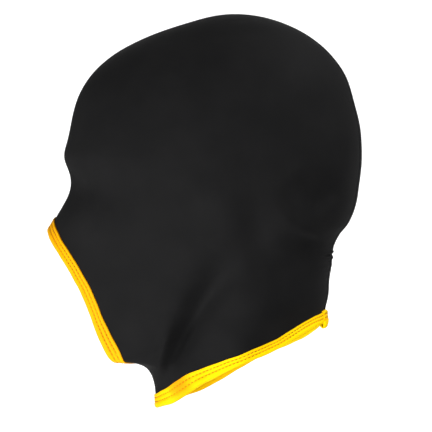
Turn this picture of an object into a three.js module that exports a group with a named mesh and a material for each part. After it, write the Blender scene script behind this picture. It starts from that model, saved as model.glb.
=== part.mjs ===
// Close-fitting stretch hood with bound face and neck openings.
// Millimetres. +X is the wearer's left, -Y the front, +Z up. The origin is the inside of the crown's top.
import * as THREE from 'three';

// Driving sizes
const CLOTH = 1.5; // wall of the knit
const TAPE = 0.9; // one layer of binding tape
const FIT_GAP = 0.65; // tape to the outside of the cloth
const INNER_GAP = 0.9; // tape to the inside of the cloth
const SEAM_GAP = 0.3; // between the two panels on the centre line
const FACE_TAPE_REACH_NOSE = 8.2; // how far the face tape covers the cloth at the nose
const FACE_TAPE_REACH = 7.6; // along the cheeks
const FACE_TAPE_REACH_CHIN = 9.4; // and at the chin
const NECK_TAPE_REACH_BACK = 4.8; // the neck tape at the nape
const NECK_TAPE_REACH_FRONT = 6.2; // and at the throat
const NECK_TAPE_SWELL = 3.4; // how much wider it is beside the throat
const NAPE_SWELL = 1.6; // and over its ends at the nape
const LAP_HALF = 6; // half length of the lapped tape ends at the nape
const LAP_RISE = 0.9; // one more layer of tape there

// Heights of the hood's own edges, measured down from the top of the crown
const NOSE_EDGE = 143;
const CHIN_EDGE = 230.4;
const THROAT_EDGE = 259.8;
const NAPE_EDGE = 202.6;
const NECK_EDGE_WAVE = 2.6; // how far the neck edge hangs below a straight line at its two low places
const NECK_EDGE_SPREAD = 1.5; // over 1, it moves these places towards the edge's ends

// Points that bend the face edge, seen from the side
const FACE_EDGE_PULLS = [
  { y: -82.4, below: 185 },
  { y: -90, below: 205 },
];

// Under the jaw only the middle turns in to the throat
const JAW_BELOW = 224; // where this starts
const JAW_SLOPE = 1.1; // the sides run on, this far back for each millimetre down
const JAW_SHARE = 0.4; // part of the plan, from the widest place forwards, that is all side
const PLAN_BLEND = 24; // length over which the plan's front half passes into its back half

// Grid of each panel
const CROWN_ROWS = 14; // crown to nose bridge
const FACE_ROWS = 24; // along the face opening
const THROAT_ROWS = 6; // chin to throat
const COLUMNS = 24; // front to back

const table = (columns, rows) =>
  rows.map((row) => Object.fromEntries(columns.split(' ').map((name, i) => [name, row[i]])));

// The centre line at the front. The rows between the nose and chin edges shape only the cheeks.
const FRONT_LINE = table('below y', [
  [0, 0],
  [5.3, -29.3],
  [16, -61.3],
  [26.7, -81.8],
  [42.7, -98.8],
  [58.7, -107],
  [78, -111],
  [95, -113.5],
  [113, -111.5],
  [142, -127],
  [165, -138],
  [187, -136],
  [206, -129],
  [218, -121],
  [225, -113],
  [228, -102],
  [229.3, -90],
  [229.9, -77],
  [230.7, -69.5],
  [232, -63],
  [234.5, -57.8],
  [240, -53.7],
  [248, -51.7],
  [275, -50.5],
]);

// The centre line at the back
const BACK_LINE = table('below y', [
  [0, 0],
  [5.3, 30],
  [16, 51.1],
  [26.7, 63.4],
  [42.7, 74.3],
  [58.7, 79],
  [80, 83.6],
  [96, 84.2],
  [112, 82.6],
  [128, 80.2],
  [138.7, 75.8],
  [149.3, 67],
  [155, 65.3],
  [166, 64.3],
  [181, 62.2],
  [207, 61.9],
  [275, 61.5],
]);

// Half width at each height, where it lies, and how blunt the plan is towards the front and the back
const BREADTH = table('below half widest front_end back_end', [
  [0, 0, 0, 0.5, 0.5],
  [5.3, 30.5, 1, 0.5, 0.5],
  [16, 50.5, 3, 0.5, 0.5],
  [32, 64, 5, 0.47, 0.48],
  [54, 73, 7, 0.44, 0.46],
  [80, 78, 8, 0.42, 0.45],
  [96, 79, 8, 0.43, 0.45],
  [113, 78.3, 7, 0.49, 0.45],
  [128, 76.6, 6, 0.58, 0.45],
  [142, 73.8, 4, 0.66, 0.46],
  [165, 67.5, 1, 0.75, 0.47],
  [187, 62, 0, 0.67, 0.48],
  [208, 59, 2, 0.58, 0.48],
  [218, 58.3, 3, 0.52, 0.49],
  [228, 58, 4, 0.49, 0.49],
  [245, 58, 5, 0.48, 0.5],
  [275, 59, 5, 0.48, 0.5],
]);

// Where the face edge bends: at the nose, at the jaw corner and under the chin
const FACE_EDGE_BENDS = table('share reach pull', [
  [0, 0.1, 2],
  [0.74, 0.1, 4],
  [1, 0.1, 0.5],
]);

// Soft rounds seen from the front: distance from the centre line, height, reach across and down, rise
const FRONT_ROUNDS = table('across below reach_across reach_down rise', [
  [28, 95, 22, 9, 2], // brow
  [31, 115, 15, 11, -5], // eye hollow
  [50, 137, 20, 14, 2.5], // cheekbone
]);

// Soft rounds seen from the side
const SIDE_ROUNDS = table('y below reach_y reach_down rise', [
  [5, 124, 19, 27, 4.5], // ear
  [27, 144, 10, 25, -3.5], // hollow behind the ear
  [-55, 84, 22, 20, -1.5], // temple
]);

// Folds seen from the side: a line from one point to another, half width and rise
const FOLDS = table('y0 below0 y1 below1 reach rise', [
  [-41, 245, -6, 178, 6, -5.5], // valley between jaw and neck
  [-36, 236, 10, 154, 9.5, -5.5], // its softer upper part
  [-24, 206, 26, 144, 10, -4], // its fan towards the ear
  [-4, 242, 46, 160, 21, 6.5], // ridge behind the valley
  [20, 230, 66, 186, 9, -6], // second valley
  [36, 125, 74, 155, 4, 1.3], // ridge of the nape crease
  [48, 107, 73, 130, 11, -5], // hollow over it
  [6, 160, -78, 226, 12, 2], // jaw line
  [-43, 246, -28, 197, 4.5, 4.5], // ridge before the valley
  [-90, 224, -44, 214, 9, -1.5], // hollow before the ridge
]);

// A smooth curve through one column of a table. Square-root spacing keeps the crown round.
function curveOf(rows, column) {
  const at = rows.map((row) => Math.sqrt(row.below));
  const value = rows.map((row) => row[column]);
  const rise = at.slice(1).map((a, i) => (value[i + 1] - value[i]) / (a - at[i]));
  const slope = value.map((_, i) => {
    if (i === 0) return rise[0];
    if (i === rise.length) return rise[i - 1];
    if (rise[i - 1] * rise[i] <= 0) return 0;
    const before = at[i] - at[i - 1];
    const after = at[i + 1] - at[i];
    const weighted = (2 * after + before) / rise[i - 1] + (after + 2 * before) / rise[i];
    return (3 * (before + after)) / weighted;
  });
  return (below) => {
    const q = Math.sqrt(Math.min(Math.max(below, 0), rows[rows.length - 1].below));
    let i = 0;
    while (i < rise.length - 1 && q > at[i + 1]) i += 1;
    const step = at[i + 1] - at[i];
    const t = (q - at[i]) / step;
    const rest = 1 - t;
    return (
      value[i] * rest * rest * (1 + 2 * t) +
      value[i + 1] * t * t * (3 - 2 * t) +
      slope[i] * step * t * rest * rest -
      slope[i + 1] * step * t * t * rest
    );
  };
}

const frontAt = curveOf(FRONT_LINE, 'y');
const backAt = curveOf(BACK_LINE, 'y');
const halfAt = curveOf(BREADTH, 'half');
const widestAt = curveOf(BREADTH, 'widest');
const frontEndAt = curveOf(BREADTH, 'front_end');
const backEndAt = curveOf(BREADTH, 'back_end');

const smooth = (t) => {
  const c = Math.min(1, Math.max(0, t));
  return c * c * (3 - 2 * c);
};

// Share of the way from the widest place to the front or back of the plan, and how blunt the plan is there
function planAt(y, below) {
  const widest = widestAt(below);
  const off = y - widest;
  const back = smooth(off / PLAN_BLEND + 0.5);
  const end = frontEndAt(below) * (1 - back) + backEndAt(below) * back;
  if (off >= 0) return { share: off / (backAt(below) - widest), end };
  const reach = widest - frontAt(below);
  const runOn = frontAt(Math.min(below, JAW_BELOW)) + JAW_SLOPE * Math.max(below - JAW_BELOW, 0);
  const sideReach = Math.max(widest - runOn, reach);
  const turnIn = Math.max((-off / reach - JAW_SHARE) / (1 - JAW_SHARE), 0);
  return { share: -off / sideReach + (1 - reach / sideReach) * turnIn * turnIn, end };
}

// Half width of the plain form at a point of the side view
function halfWidth(y, below) {
  const { share, end } = planAt(y, below);
  return halfAt(below) * Math.pow(1 - Math.min(1, share * share), end);
}

// Zero on the plain form, positive outside
function plainForm(p) {
  const below = Math.max(CLOTH - p.z, 1e-4);
  const { share, end } = planAt(p.y, below);
  return Math.pow(Math.abs(p.x) / halfAt(below), 1 / end) + share * share - 1;
}

// How far the cloth stands off the plain form
function relief(p) {
  const below = CLOTH - p.z;
  let rise = 0;
  for (const round of FRONT_ROUNDS) {
    const across = (Math.abs(p.x) - round.across) / round.reach_across;
    const down = (below - round.below) / round.reach_down;
    rise += round.rise * Math.exp(-across * across - down * down) * smooth((-45 - p.y) / 25);
  }
  for (const round of SIDE_ROUNDS) {
    const along = (p.y - round.y) / round.reach_y;
    const down = (below - round.below) / round.reach_down;
    rise += round.rise * Math.exp(-along * along - down * down);
  }
  // the folds under the jaw stay on its sides
  const sidesFrom = 22 + 16 * smooth((-40 - p.y) / 25);
  const clear = p.y < 0 ? smooth((Math.abs(p.x) - sidesFrom) / 16) : 1;
  for (const fold of FOLDS) {
    const run = { y: fold.y1 - fold.y0, below: fold.below1 - fold.below0 };
    const length = Math.hypot(run.y, run.below);
    const along = ((p.y - fold.y0) * run.y + (below - fold.below0) * run.below) / (length * length);
    const side = ((p.y - fold.y0) * run.below - (below - fold.below0) * run.y) / length / fold.reach;
    const fade = smooth(along / 0.4) * smooth((1 - along) / 0.4);
    rise += fold.rise * Math.exp(-side * side) * fade * clear;
  }
  return rise;
}

function gradientOf(field, p) {
  const step = 0.05;
  const slope = new THREE.Vector3();
  for (const axis of ['x', 'y', 'z']) {
    const ahead = p.clone();
    const behind = p.clone();
    ahead[axis] += step;
    behind[axis] -= step;
    slope[axis] = (field(ahead) - field(behind)) / (2 * step);
  }
  return slope;
}

// About the distance from the outside of the cloth
const clothForm = (p) => plainForm(p) / Math.max(gradientOf(plainForm, p).length(), 1e-6) - relief(p);

const normalAt = (p) => gradientOf(clothForm, p).normalize();

// The point on the outside of the cloth that lies straight out or in from a point near the plain form
function settle(start) {
  const p = start.clone();
  const way = gradientOf(plainForm, p).normalize();
  // level steps beside the throat, where slanted ones would cross
  const upright = smooth((Math.hypot(way.x, way.y) - 0.5) / 0.3);
  way.z *= 1 - upright * smooth((CLOTH - p.z - 205) / 15) * smooth((Math.abs(p.x) - 20) / 12);
  way.normalize();
  for (let i = 0; i < 6; i += 1) {
    const slope = gradientOf(clothForm, p).dot(way);
    p.addScaledVector(way, -clothForm(p) / Math.max(slope, 0.4));
  }
  return p;
}

// The face edge seen from the side, from the nose (0) to the chin (1)
function faceEdge(t) {
  const rest = 1 - t;
  const [upper, lower] = FACE_EDGE_PULLS;
  const mix = (a, b, c, d) => a * rest ** 3 + 3 * b * rest * rest * t + 3 * c * rest * t * t + d * t ** 3;
  return {
    y: mix(frontAt(NOSE_EDGE), upper.y, lower.y, frontAt(CHIN_EDGE)),
    below: mix(NOSE_EDGE, upper.below, lower.below, CHIN_EDGE),
  };
}

// Points at given shares of the length of a line that is drawn in the side view and lies on the form
function spaced(line, shares) {
  const count = 600;
  const points = [];
  for (let i = 0; i <= count; i += 1) {
    const { y, below } = line((1 - Math.cos((Math.PI * i) / count)) / 2);
    points.push(new THREE.Vector3(halfWidth(y, below), y, CLOTH - below));
  }
  const run = [0];
  for (let i = 1; i <= count; i += 1) run.push(run[i - 1] + points[i].distanceTo(points[i - 1]));
  let i = 1;
  return shares(run[count]).map((share) => {
    const goal = share * run[count];
    while (i < count && run[i] < goal) i += 1;
    return points[i - 1].clone().lerp(points[i], (goal - run[i - 1]) / (run[i] - run[i - 1] || 1));
  });
}

const evenly = (count) => Array.from({ length: count + 1 }, (_, i) => i / count);

// Shares of a line's length that lie closer together at both of its ends
const closerAtEnds = (count, pull) =>
  evenly(count).map((t) => t - (pull / Math.PI / 2) * Math.sin(2 * Math.PI * t));

// Shares that crowd together at the bends of a line
function crowded(count, bends) {
  const steps = 400;
  const run = [0];
  for (let i = 1; i <= steps; i += 1) {
    const t = (i - 0.5) / steps;
    const crowd = bends.map((bend) => bend.pull * Math.exp(-(((t - bend.share) / bend.reach) ** 2)));
    run.push(run[i - 1] + crowd.reduce((sum, c) => sum + c, 1));
  }
  let i = 1;
  return evenly(count).map((t) => {
    const goal = t * run[steps];
    while (i < steps && run[i] < goal) i += 1;
    return (i - 1 + (goal - run[i - 1]) / (run[i] - run[i - 1])) / steps;
  });
}

// How far the neck edge hangs below a straight line from throat to nape
const neckWave = (t) => NECK_EDGE_WAVE * Math.sin(Math.PI * Math.abs(2 * t - 1) ** NECK_EDGE_SPREAD) ** 2;

function onCentreLine(p) {
  p.x = 0;
  return p;
}

// Rows of points on the outside of the left half, from the crown down to the neck edge
function panelRows() {
  const rows = [];
  const addRow = (front, back, frontOnCentre, hang) => {
    const line = (t) => ({
      y: front.y * (1 - t) + back.y * t,
      below: front.below * (1 - t) + back.below * t + hang * neckWave(t),
    });
    const row = spaced(line, () => closerAtEnds(COLUMNS, 0.35)).map(settle);
    if (frontOnCentre) onCentreLine(row[0]);
    onCentreLine(row[COLUMNS]);
    rows.push(row);
  };
  const onFront = (below) => ({ y: frontAt(below), below });
  const onBack = (below) => ({ y: backAt(below), below });
  for (let i = 1; i <= CROWN_ROWS; i += 1) {
    const below = NOSE_EDGE * Math.pow(i / CROWN_ROWS, 1.4);
    addRow(onFront(below), onBack(below), true, 0);
  }
  const lowerRows = FACE_ROWS + THROAT_ROWS;
  const backBelow = (i) => NOSE_EDGE + ((NAPE_EDGE - NOSE_EDGE) * i) / lowerRows;
  const hangOf = (i) => (i / lowerRows) ** 2;
  const edge = spaced(faceEdge, () => crowded(FACE_ROWS, FACE_EDGE_BENDS));
  for (let i = 1; i <= FACE_ROWS; i += 1) {
    const front = { y: edge[i].y, below: CLOTH - edge[i].z };
    addRow(front, onBack(backBelow(i)), i === FACE_ROWS, hangOf(i));
  }
  const throat = spaced((t) => onFront(CHIN_EDGE + (THROAT_EDGE - CHIN_EDGE) * t), () => evenly(THROAT_ROWS));
  for (let i = 1; i <= THROAT_ROWS; i += 1) {
    const back = onBack(backBelow(FACE_ROWS + i));
    addRow(onFront(CLOTH - throat[i].z), back, true, hangOf(FACE_ROWS + i));
  }
  return rows;
}

// A closed mesh from points and triangles, turned to face outwards
function solid(name, points, triangles, colour, roughness) {
  let volume = 0;
  for (const [a, b, c] of triangles) {
    volume += points[a].dot(new THREE.Vector3().crossVectors(points[b], points[c]));
  }
  const index = triangles.flatMap(([a, b, c]) => (volume < 0 ? [a, c, b] : [a, b, c]));
  const geometry = new THREE.BufferGeometry();
  const position = points.flatMap((p) => [p.x, p.y, p.z]);
  geometry.setAttribute('position', new THREE.Float32BufferAttribute(position, 3));
  geometry.setIndex(index);
  geometry.computeVertexNormals();
  const mesh = new THREE.Mesh(geometry, new THREE.MeshStandardMaterial({ color: colour, roughness }));
  mesh.name = name;
  return mesh;
}

// A cloth panel: the outside, the inside one wall further in, and the cut edge between them
function panel(name, rows, side) {
  const outside = [new THREE.Vector3(0, 0, CLOTH)];
  const skin = [];
  const at = (i, j) => 1 + i * (COLUMNS + 1) + j;
  rows.forEach((row) => row.forEach((p) => outside.push(p.clone())));
  for (let j = 0; j < COLUMNS; j += 1) skin.push([0, at(0, j), at(0, j + 1)]);
  for (let i = 0; i < rows.length - 1; i += 1) {
    for (let j = 0; j < COLUMNS; j += 1) {
      skin.push([at(i, j), at(i + 1, j), at(i + 1, j + 1)]);
      skin.push([at(i, j), at(i + 1, j + 1), at(i, j + 1)]);
    }
  }
  const inside = outside.map((p, i) => {
    const normal = i === 0 ? new THREE.Vector3(0, 0, 1) : normalAt(p);
    const inner = p.clone().addScaledVector(normal, -CLOTH);
    inner.x = Math.max(inner.x, 0);
    return inner;
  });
  const points = [...outside, ...inside];
  const shift = outside.length;
  points.forEach((p) => {
    p.x = side * (p.x + SEAM_GAP / 2);
  });
  const triangles = skin.flatMap(([a, b, c]) => [
    [a, b, c],
    [a + shift, c + shift, b + shift],
  ]);
  const edges = new Set(skin.flatMap(([a, b, c]) => [`${a},${b}`, `${b},${c}`, `${c},${a}`]));
  for (const edge of edges) {
    const [a, b] = edge.split(',').map(Number);
    if (edges.has(`${b},${a}`)) continue;
    triangles.push([b, a, a + shift], [b, a + shift, b + shift]);
  }
  return solid(name, points, triangles, 0x17171a, 0.85);
}

// A folded tape along a closed edge. Each station gives the point on the edge and how the tape lies there.
function binding(name, half, inward, reachAt, lapAt) {
  const other = half.slice(1, -1).reverse();
  const loop = [...half, ...other.map((p) => new THREE.Vector3(-p.x, p.y, p.z))];
  const count = loop.length;
  const innerFace = -CLOTH - INNER_GAP;
  const middle = (FIT_GAP + innerFace) / 2;
  const round = (FIT_GAP - innerFace) / 2;
  const sections = loop.map((edge, k) => {
    const along = loop[(k + 1) % count].clone().sub(loop[(k + count - 1) % count]).normalize();
    const out = normalAt(edge);
    const over = new THREE.Vector3().crossVectors(out, along).normalize();
    if (over.dot(inward) < 0) over.negate();
    const reach = reachAt(edge);
    const lap = lapAt(edge);
    const lay = (share, off) => {
      const base = share > 0 ? settle(edge.clone().addScaledVector(over, share * reach)) : edge.clone();
      return base.addScaledVector(share > 0 ? normalAt(base) : out, off);
    };
    const fold = (radius, angle, more) =>
      edge
        .clone()
        .addScaledVector(over, -(radius + more) * Math.sin(angle))
        .addScaledVector(out, middle + (radius + more) * Math.cos(angle));
    const top = FIT_GAP + TAPE + lap;
    const bottom = innerFace - TAPE;
    return [
      lay(1, top),
      lay(0.5, top),
      lay(0, top),
      fold(round + TAPE, Math.PI * 0.28, lap),
      fold(round + TAPE, Math.PI * 0.5, lap),
      fold(round + TAPE, Math.PI * 0.75, 0),
      lay(0, bottom),
      lay(0.5, bottom),
      lay(1, bottom),
      lay(1, innerFace),
      lay(0.5, innerFace),
      lay(0, innerFace),
      fold(round, Math.PI * 0.5, 0),
      lay(0, FIT_GAP),
      lay(0.5, FIT_GAP),
      lay(1, FIT_GAP),
    ];
  });
  const ring = sections[0].length;
  const triangles = [];
  for (let k = 0; k < count; k += 1) {
    const next = (k + 1) % count;
    for (let i = 0; i < ring; i += 1) {
      const after = (i + 1) % ring;
      triangles.push([k * ring + i, next * ring + i, next * ring + after]);
      triangles.push([k * ring + i, next * ring + after, k * ring + after]);
    }
  }
  return solid(name, sections.flat(), triangles, 0xf2c60a, 0.7);
}

// The tapes have a station at each point of the panels' edges
function faceBinding(rows) {
  const half = rows.slice(CROWN_ROWS - 1, CROWN_ROWS + FACE_ROWS).map((row) => row[0]);
  const inward = new THREE.Vector3(0, 1, 0.35);
  const nose = half[0];
  const reachAt = (p) => {
    const cheek = smooth(p.distanceTo(nose) / 55);
    const chin = smooth((CLOTH - p.z - 200) / 26);
    const reach = FACE_TAPE_REACH_NOSE + (FACE_TAPE_REACH - FACE_TAPE_REACH_NOSE) * cheek;
    return reach + (FACE_TAPE_REACH_CHIN - FACE_TAPE_REACH) * chin;
  };
  return binding('face_binding', half, inward, reachAt, () => 0);
}

function neckBinding(rows) {
  const half = rows[rows.length - 1];
  const back = half[COLUMNS];
  const reachAt = (p) => {
    const share = smooth((15 - p.y) / 58);
    const swell = NECK_TAPE_SWELL * Math.exp(-(((p.y + 20) / 20) ** 2));
    const ends = NAPE_SWELL * Math.exp(-((p.distanceTo(back) / 9) ** 2));
    return NECK_TAPE_REACH_BACK + (NECK_TAPE_REACH_FRONT - NECK_TAPE_REACH_BACK) * share + swell + ends;
  };
  const lapAt = (p) => LAP_RISE * smooth((LAP_HALF + 1 - p.distanceTo(back)) / 2);
  return binding('neck_binding', half, new THREE.Vector3(0, -0.2, 1), reachAt, lapAt);
}

const hood = new THREE.Group();
hood.name = 'stretch_hood';
const rows = panelRows();
hood.add(panel('left_panel', rows, 1));
hood.add(panel('right_panel', rows, -1));
hood.add(faceBinding(rows));
hood.add(neckBinding(rows));

export default hood;
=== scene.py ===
"""Stretch hood with bound face and neck openings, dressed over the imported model."""
import math

import bpy
import numpy as np
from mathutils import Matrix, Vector


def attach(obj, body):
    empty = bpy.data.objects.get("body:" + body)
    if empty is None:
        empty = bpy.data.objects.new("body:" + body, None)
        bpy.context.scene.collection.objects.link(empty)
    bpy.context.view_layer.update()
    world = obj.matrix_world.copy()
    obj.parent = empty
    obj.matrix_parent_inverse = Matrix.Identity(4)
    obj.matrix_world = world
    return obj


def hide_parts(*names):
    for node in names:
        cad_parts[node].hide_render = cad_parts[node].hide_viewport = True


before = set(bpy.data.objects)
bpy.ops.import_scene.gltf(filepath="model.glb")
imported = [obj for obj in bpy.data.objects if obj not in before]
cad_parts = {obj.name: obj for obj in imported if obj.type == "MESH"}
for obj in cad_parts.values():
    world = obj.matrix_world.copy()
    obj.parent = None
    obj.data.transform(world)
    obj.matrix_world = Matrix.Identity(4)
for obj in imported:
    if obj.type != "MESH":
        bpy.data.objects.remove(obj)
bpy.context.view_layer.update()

MM = 0.001

# Sizes in millimetres, the same as those of the solids
CLOTH = 1.5
NOSE_EDGE = 143
CHIN_EDGE = 230.4
THROAT_EDGE = 259.8
NAPE_EDGE = 202.6
FACE_EDGE_PULLS = ((-82.4, 185), (-90, 205))  # bend the face edge, seen from the side
NECK_EDGE_WAVE = 2.6  # how far the neck edge hangs below a straight line at its two low places
NECK_EDGE_SPREAD = 1.5  # over 1, it moves these places towards the edge's ends
PLAN_BLEND = 24  # length over which the plan's front half passes into its back half
JAW_BELOW = 224  # under this height only the middle turns in to the throat
JAW_SLOPE = 1.1  # while the sides run on, this far back for each millimetre down
JAW_SHARE = 0.4  # and this part of the plan, from the widest place forwards, is all side
FACE_TAPE_REACH_NOSE = 8.2
FACE_TAPE_REACH = 7.6
FACE_TAPE_REACH_CHIN = 9.4
CHEEK_FROM_NOSE = 55  # this far from the nose the face tape has its plain reach
CHIN_WIDTH_FROM = 200  # from this height down it widens towards the chin
CHIN_WIDTH_RUN = 26
NECK_TAPE_REACH_BACK = 4.8
NECK_TAPE_REACH_FRONT = 6.2
FRONT_WIDTH_FROM = 15  # from here forwards the neck tape widens towards the throat
FRONT_WIDTH_RUN = 58
NECK_TAPE_SWELL = 3.4  # how much wider it is beside the throat
NECK_SWELL_Y = -20
NECK_SWELL_REACH = 20
NAPE_SWELL = 1.6  # and over its ends at the nape
NAPE_SWELL_REACH = 9

# Fineness of the curves and lines that the form is made from
CURVE_STEPS = 4000
EVEN_STEPS = 60  # steps over which the bends of a curve are evened out
EXACT_BELOW = 190  # from this height down a curve keeps to its rows
BACK_EXACT_BELOW = 125  # and the back line from here, over the crease at the nape
EXACT_BLEND = 25
LINE_STEPS = 800

# Where the rounds and folds end
FACE_FROM = -45  # the front rounds start here and grow forwards
FRONT_BLEND = 25
FOLD_FADE = 0.4  # share of a fold's line over which it fades at each end
FOLDS_OFF_CENTRE = 22  # in front the folds stay this far off the centre line
FOLDS_OFF_CHIN = 16  # and this much further under the chin
UNDER_CHIN_FROM = -40
FOLD_SIDE_BLEND = 16

# Beside the throat the cloth is settled in level steps, because slanted ones would cross
LEVEL_BELOW = 205
LEVEL_BLEND = 15
LEVEL_OFF_CENTRE = 20
LEVEL_SIDE_BLEND = 12
WALL_FROM = 0.5  # level part of a direction from which the cloth counts as upright
WALL_BLEND = 0.3
SETTLE_ROUNDS = 6
LEAST_SLOPE = 0.4

# Fineness of the cloth panels
CROWN_ROWS = 90
CROWN_CROWDING = 1.4  # over 1, it draws the rows together towards the top
FACE_ROWS = 62
THROAT_ROWS = 26
EDGE_STEPS = (0, 0.35, 0.75, 1.2, 1.75, 2.4, 3.3, 4.6, 6.2)
SHORT_ROW = 60  # rows shorter than this draw the edge steps together
INNER_COLUMNS = 118

# The seam on the centre line
SEAM_HALF_GAP = 0.0005
SEAM_ROLL = 2.3
SEAM_DIP = 1.0
INNER_DIP_SHARE = 0.5  # the inside comes this share of the dip towards the outside
ALLOWANCE_WIDTH = 6
ALLOWANCE_RISE = 0.9
ALLOWANCE_BEVEL = 0.8
TRIM_OFF_TAPE = 10  # the allowance is trimmed away this near to a tape
TRIM_BLEND = 3

# Puckers that the seam draws into the cloth
SEAM_PUCKER = 0.22
SEAM_PUCKER_WAVE = 5.3
SEAM_PUCKER_REACH = 5
SEAM_PUCKER_FROM = 60
SEAM_PUCKER_BLEND = 60
NAPE_PUCKER = 0.75  # higher ones in the crease at the nape
NAPE_PUCKER_SHORT = 0.7  # height of its short wave beside the long one
NAPE_PUCKER_LONG_WAVE = 4.6
NAPE_PUCKER_SHORT_WAVE = 3.1
NAPE_PUCKER_BELOW = 160
NAPE_PUCKER_REACH_DOWN = 6
NAPE_PUCKER_REACH = 17

# The binding tape
TAPE = 0.8
TAPE_GAP = 0.1
EDGE_BACK = 0.1  # its edge on the cloth lies this far back from its full reach
EDGE_TUCK = 0.05  # the underside ends this far back from that edge
EDGE_WAVES = ((0.13, 4.1, 1), (0.091, 2.3, 2))  # height, length, share of the tape's phase
FOLD_DEPTH = 2.3
FOLD_WAVES = ((0.14, 5.7, 1), (0.1, 2.9, 0))
FOLD_BLUNTNESS = 0.85  # under 1, the fold is fuller than round
INNER_LEG_SHORTER = 0.9
INNER_LEG_BOW = 0.12
GROOVE = 0.22  # a row of stitches draws the tape in this far
NEEDLE_DIP = 0.16  # and this much further where the needle went in
GROOVE_REACH = 0.55
SWELL = 0.1  # unevenness along the fold
SWELL_OFF_ROW = 1.6
SWELL_REACH = 2
SWELL_LENGTHS = (7.3, 3.1, 1.7)
SWELL_SHORT = 0.6  # height of its shortest wave beside the others

# The free end of the neck tape, which lies over its own start
LAP_LEFT = 7  # it ends this far to the left of the nape
LAP_RIGHT = 10
LAP_MARGIN = 4  # it lifts this far before the whole round, and drops and widens this far after
LAP_LIFT = 0.85
LAP_LIFT_RUN = 5
LAP_INNER_LIFT = 0.7  # share of the lift on the inside
LAP_DROP = 2.3
LAP_DROP_RUN = 7
LAP_WIDER = 0.7
LAP_WIDER_RUN = 6
FREE_END_ROUND = 0.9
FREE_END_LEFT = 0.2  # share of the thickness that is left at the very end

# Fineness of the tape
EDGE_POINTS = 420
REACH_POINTS = 13
STATION_STEP = 0.7
LEG_POINTS = 19
FOLD_POINTS = 13
INNER_LEG_POINTS = 9
OUTER_EDGE_TURNS = np.radians((-60, -20, 20, 55))
INNER_EDGE_TURNS = np.radians((50, 10))

# The stitches
STITCH_ROWS = (0.27, 0.57)  # shares of the tape's width, from its edge on the cloth
STITCH_PITCH = 2.6
STITCH_LENGTH = 1.8
STITCH_ARCH = 0.24
STITCH_SUNK = 0.12
INNER_STITCH_ARCH = 0.05
INNER_STITCH_MARGIN = 1.6  # inside, they stay this far from the tape's edge
STITCH_POINTS = 7
THREAD_RADIUS = 0.25
THREAD_SIDES = 7
THREAD_TIP = 0.05  # least share of the thread's section, at a stitch's ends

# The centre line at the front
FRONT_LINE = np.array([  # below, y
    (0, 0), (5.3, -29.3), (16, -61.3), (26.7, -81.8), (42.7, -98.8), (58.7, -107),
    (78, -111), (95, -113.5), (113, -111.5), (142, -127), (165, -138), (187, -136),
    (206, -129), (218, -121), (225, -113), (228, -102), (229.3, -90), (229.9, -77),
    (230.7, -69.5), (232, -63), (234.5, -57.8), (240, -53.7), (248, -51.7), (275, -50.5),
])

# The centre line at the back
BACK_LINE = np.array([  # below, y
    (0, 0), (5.3, 30), (16, 51.1), (26.7, 63.4), (42.7, 74.3), (58.7, 79),
    (80, 83.6), (96, 84.2), (112, 82.6), (128, 80.2), (138.7, 75.8), (149.3, 67),
    (155, 65.3), (166, 64.3), (181, 62.2), (207, 61.9), (275, 61.5),
])

# Half width at each height, where it lies, and how blunt the plan is
BREADTH = np.array([  # below, half, widest, front_end, back_end
    (0, 0, 0, 0.5, 0.5), (5.3, 30.5, 1, 0.5, 0.5), (16, 50.5, 3, 0.5, 0.5),
    (32, 64, 5, 0.47, 0.48), (54, 73, 7, 0.44, 0.46), (80, 78, 8, 0.42, 0.45),
    (96, 79, 8, 0.43, 0.45), (113, 78.3, 7, 0.49, 0.45), (128, 76.6, 6, 0.58, 0.45),
    (142, 73.8, 4, 0.66, 0.46), (165, 67.5, 1, 0.75, 0.47), (187, 62, 0, 0.67, 0.48),
    (208, 59, 2, 0.58, 0.48), (218, 58.3, 3, 0.52, 0.49), (228, 58, 4, 0.49, 0.49),
    (245, 58, 5, 0.48, 0.5), (275, 59, 5, 0.48, 0.5),
])

# Soft rounds seen from the front
FRONT_ROUNDS = (  # across, below, reach_across, reach_down, rise
    (28, 95, 22, 9, 2),  # brow
    (31, 115, 15, 11, -5),  # eye hollow
    (50, 137, 20, 14, 2.5),  # cheekbone
)

# Soft rounds seen from the side
SIDE_ROUNDS = (  # y, below, reach_y, reach_down, rise
    (5, 124, 19, 27, 4.5),  # ear
    (27, 144, 10, 25, -3.5),  # hollow behind the ear
    (-55, 84, 22, 20, -1.5),  # temple
)

# Folds seen from the side
FOLDS = (  # y0, below0, y1, below1, reach, rise
    (-41, 245, -6, 178, 6, -5.5),  # valley between jaw and neck
    (-36, 236, 10, 154, 9.5, -5.5),  # its softer upper part
    (-24, 206, 26, 144, 10, -4),  # its fan towards the ear
    (-4, 242, 46, 160, 21, 6.5),  # ridge behind the valley
    (20, 230, 66, 186, 9, -6),  # second valley
    (36, 125, 74, 155, 4, 1.3),  # ridge of the nape crease
    (48, 107, 73, 130, 11, -5),  # hollow over it
    (6, 160, -78, 226, 12, 2),  # jaw line
    (-43, 246, -28, 197, 4.5, 4.5),  # ridge before the valley
    (-90, 224, -44, 214, 9, -1.5),  # hollow before the ridge
)

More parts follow.
